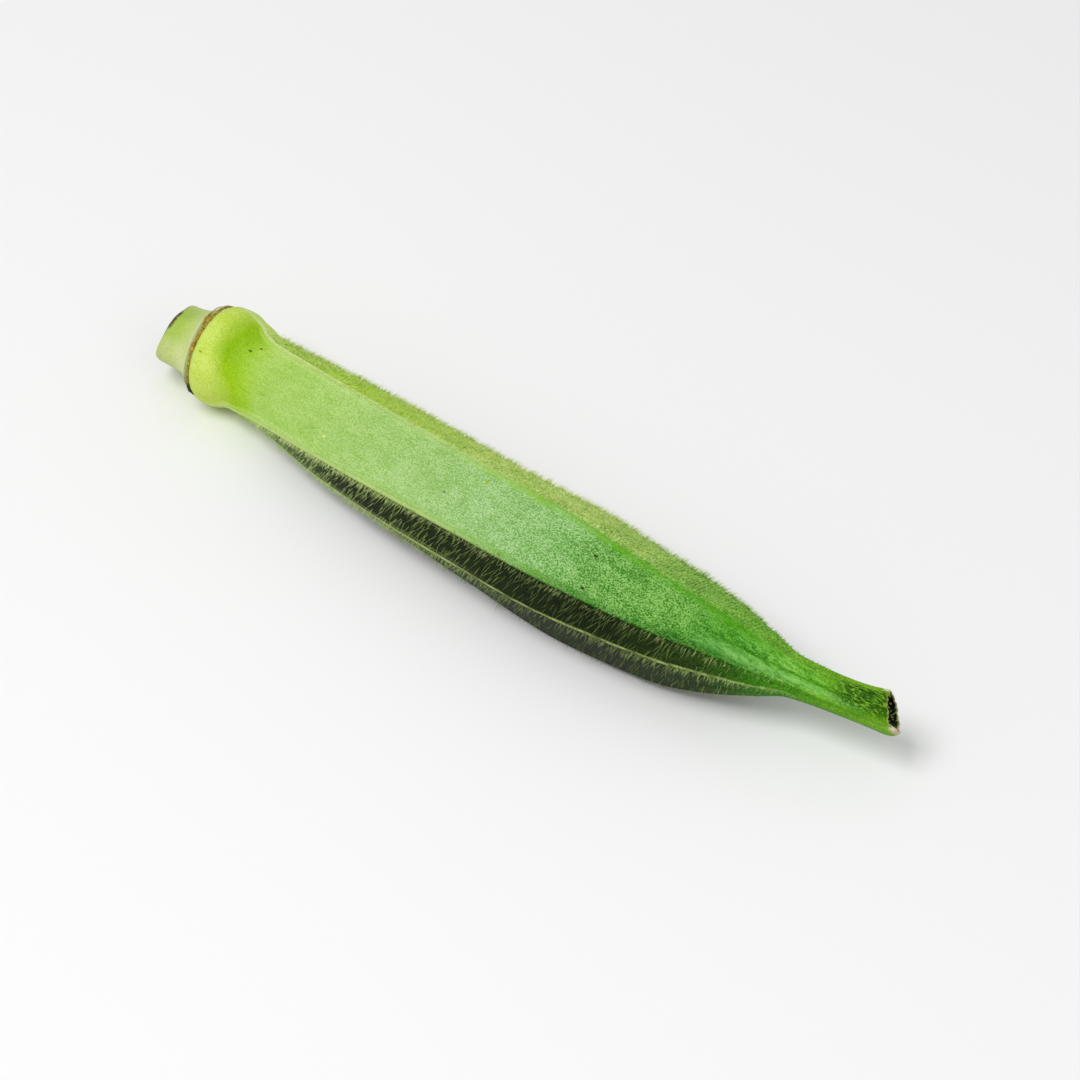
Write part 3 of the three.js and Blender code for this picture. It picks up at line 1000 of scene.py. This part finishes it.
def face_fuzz():
    """Fine short hairs that lie close over the faces."""
    x = scattered(9000, *FACE_SPAN)
    low, high = ridge_turn(UPPER, x), ridge_turn(LOWER, x)
    turns = low + (high - low) * rng.random(len(x))
    root, stand, lean = ways(x, turns, 0.9, 0.5, 0.5, 0.55)
    length = rng.uniform(0.18, 0.4, len(x))
    material = hair_material("face_fuzz", pale_tones(FACE_COLOURS), (176, 212, 128))
    return grow("face_fuzz", material, root, stand, lean, length, FACE_RADIUS, 0.2, bent=False)


def band_hairs():
    """Close-set standing hairs on the faces behind the top, seen edge-on from above."""
    x = in_rows(scattered(4200, *BAND_SPAN), 0.5, 0.07)
    low, high = ridge_turn(TOP_BACK, x) - 12, ridge_turn(UPPER, x) + 358
    turns = low + (high - low) * rng.random(len(x))
    root, stand, lean = ways(x, turns, 0.25, -0.1, 0.07, 1.0)
    length = rng.uniform(0.45, 1.0, len(x)) * (1 - 0.4 * smooth(x, 96, 112))
    bend = rng.uniform(0.1, 0.4, len(x))
    material = hair_material("band_hairs", pale_tones(BAND_COLOURS), (228, 238, 168))
    return grow("band_hairs", material, root, stand, lean, length, BAND_RADIUS, bend)


def under_hairs():
    """Longer curved hairs on the faces turned down, leaning down and towards the stalk."""
    x = scattered(3400, *UNDER_SPAN)
    low, high = ridge_turn(LOWER, x) + 3, ridge_turn(BACK, x) + 20
    turns = low + (high - low) * rng.random(len(x))
    root, stand, lean = ways(x, turns, -0.45, 0.9, 0.2, 0.75)
    length = rng.uniform(1.1, 2.1, len(x)) * (1 - 0.5 * smooth(x, 98, 112))
    bend = rng.uniform(-0.1, 0.6, len(x))
    material = hair_material("under_hairs", HANGING_LIGHT_AND_SHADE_TONES, (188, 212, 130))
    return grow("under_hairs", material, root, stand, lean, length, UNDER_RADIUS, bend)


# Small marks on the skin: distance, turn, half length, half width and colour
MARKS = (
    (15.1, 13, 0.34, 0.14, (78, 84, 20)),
    (16.2, 1, 0.3, 0.12, (92, 96, 24)),
    (34.4, 57, 0.32, 0.22, (214, 222, 140)),
    (8.6, 48, 0.34, 0.1, (120, 164, 20)),
    (61.6, 3, 0.2, 0.42, (150, 176, 22)),
    (56.9, 35, 0.34, 0.1, (100, 136, 48)),
    (82.7, 14, 0.36, 0.16, (52, 44, 12)),
    (75.4, 21, 0.2, 0.1, (104, 144, 60)),
    (83.8, 47, 0.3, 0.18, (26, 30, 10)),
    (128.3, -36, 0.6, 0.14, (226, 220, 190)),
)
MARK_HEIGHT = 0.05


def small_marks():
    """Low scabs and specks, each a flattened ball sunk half into the skin."""
    bm = bmesh.new()
    layer = bm.verts.layers.float_color.new("tone")
    for x, turn, length, width, tone in MARKS:
        place = np.array([x]), np.array([float(turn)])
        root, out = skin_point(*place)[0], Vector(skin_normal(*place)[0])
        along = Vector((1, 0, 0)) - out * out.x
        along.normalize()
        across = out.cross(along)
        shape = Matrix((along * length, across * width, out * MARK_HEIGHT)).transposed().to_4x4()
        shape = Matrix.Translation(Vector(placed(root))) @ Matrix.Scale(MM, 4) @ shape
        made = bmesh.ops.create_uvsphere(bm, u_segments=12, v_segments=6, radius=1, matrix=shape)
        for vert in made["verts"]:
            vert[layer] = srgb(*tone)
    material = bpy.data.materials.new("small_marks")
    make = Maker(nodes_of(material))
    tone = make.node("ShaderNodeAttribute", attribute_name="tone").outputs["Color"]
    principled(make, tone, 0.7, **{"Specular IOR Level": 0.1})
    return finish_piece(bm, "small_marks", material)


# Camera, light and floor

def direction(azimuth, elevation):
    """The way from the pod to something seen at that azimuth and elevation."""
    azimuth, elevation = math.radians(azimuth), math.radians(elevation)
    level = math.cos(elevation)
    return Vector((math.sin(azimuth) * level, -math.cos(azimuth) * level, math.sin(elevation)))


def looking_back(place, way):
    """The matrix of a camera or light that stands at a place and looks back along a way."""
    return Matrix.Translation(place) @ way.to_track_quat("Z", "Y").to_matrix().to_4x4()


def set_camera():
    way = direction(CAMERA["azimuth"], CAMERA["elevation"])
    data = bpy.data.cameras.new("camera")
    data.sensor_width = CAMERA["sensor"]
    data.lens = CAMERA["sensor"] * CAMERA["distance"] / CAMERA["frame_width"]
    data.clip_start = CAMERA["nearest"]
    camera = bpy.data.objects.new("camera", data)
    bpy.context.collection.objects.link(camera)
    place = Vector(placed(CAMERA["aim"])) + way * CAMERA["distance"] * MM
    camera.matrix_world = looking_back(place, way)
    bpy.context.scene.camera = camera


def add_light(name, azimuth, elevation, distance, size, power):
    data = bpy.data.lights.new(name, "AREA")
    data.shape = "DISK"
    data.size = size
    data.energy = power
    light = bpy.data.objects.new(name, data)
    bpy.context.collection.objects.link(light)
    way = direction(azimuth, elevation)
    light.matrix_world = looking_back(way * distance, way)


def set_light():
    world = bpy.data.worlds.new("studio")
    world.use_nodes = True
    sky = world.node_tree.nodes["Background"]
    sky.inputs["Color"].default_value = (1, 1, 1, 1)
    sky.inputs["Strength"].default_value = SKY_STRENGTH
    scene = bpy.context.scene
    scene.world = world
    scene.view_settings.view_transform = "Standard"
    for name, values in LIGHTS.items():
        add_light(name, *values)


def pale_floor():
    bm = bmesh.new()
    bmesh.ops.create_grid(bm, x_segments=1, y_segments=1, size=FLOOR_REACH)
    mesh = bpy.data.meshes.new("floor")
    bm.to_mesh(mesh)
    bm.free()
    material = bpy.data.materials.new("floor")
    make = Maker(nodes_of(material))
    greys = [(place, (grey, grey, grey)) for place, grey in enumerate(FLOOR_GREYS)]
    principled(make, make.ramp(make.noise(GRAIN["floor"], 2.0), greys), 0.8)
    mesh.materials.append(material)
    floor = bpy.data.objects.new("floor", mesh)
    bpy.context.collection.objects.link(floor)


set_camera()
set_light()
pale_floor()
pod_skin()
stalk_stub()
calyx_ring()
tip_remains()
fringe("upright_hairs", UPRIGHT_FRINGES, pale_tones(BAND_COLOURS), (232, 240, 172))
# The hanging hairs' bright tips are partly painted light, raised for the little light under the pod
fringe("hanging_hairs", HANGING_FRINGES, HANGING_LIGHT_AND_SHADE_TONES, (232, 250, 172))
face_fuzz()
band_hairs()
under_hairs()
small_marks()
